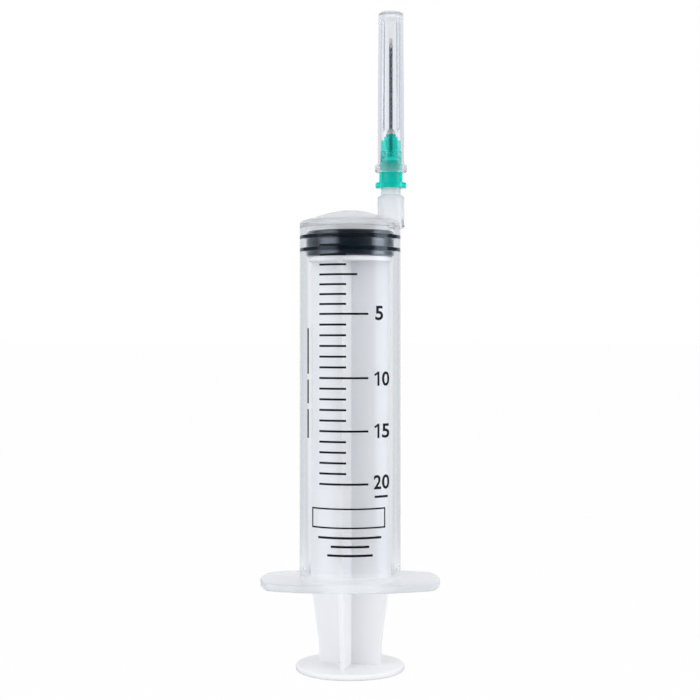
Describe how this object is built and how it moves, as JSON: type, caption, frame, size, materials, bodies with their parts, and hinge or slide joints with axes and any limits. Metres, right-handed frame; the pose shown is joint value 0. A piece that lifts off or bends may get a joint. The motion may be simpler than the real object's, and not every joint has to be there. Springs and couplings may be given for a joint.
{
  "type": "luer slip syringe",
  "caption": "Three-piece hypodermic syringe with an eccentric slip tip, a capped needle and a finger flange.",
  "frame": {"origin": "centre of the thumb disc's underside, on the barrel's axis", "axes": "+Z along the barrel from the thumb disc to the needle, +X towards the side that the tip is offset to, -Y is the side with the scale"},
  "size_m": [0.0398, 0.024, 0.1456],
  "materials": {
    "white_plastic": "satin moulded",
    "black_rubber": "lubricated, slight gloss",
    "clear_plastic": "clear, polished",
    "green_plastic": "translucent",
    "needle_steel": "drawn and ground",
    "clear_adhesive": "clear, set",
    "cap_plastic": "clear, polished"
  },
  "bodies": {
    "plunger": {"plunger_rod": "white_plastic"},
    "stopper": {"gasket": "black_rubber"},
    "barrel": {"barrel": "clear_plastic"},
    "needle": {"needle_hub": "green_plastic", "cannula": "needle_steel", "adhesive_bead": "clear_adhesive"},
    "cap": {"needle_cap": "cap_plastic"}
  },
  "joints": [
    {"name": "plunger_twist", "type": "hinge", "parent": "plunger", "child": "stopper", "pos_m": [0, 0, 0.0913], "axis": [0, 0, 1], "continuous": true},
    {"name": "plunger_slide", "type": "slide", "parent": "stopper", "child": "barrel", "axis": [0, 0, 1], "range_m": [0, 0.0695]},
    {"name": "needle_pull_off", "type": "slide", "parent": "barrel", "child": "needle", "axis": [0, 0, 1], "range_m": [0, 0.012]},
    {"name": "cap_pull_off", "type": "slide", "parent": "needle", "child": "cap", "axis": [0, 0, 1], "range_m": [0, 0.04]}
  ]
}
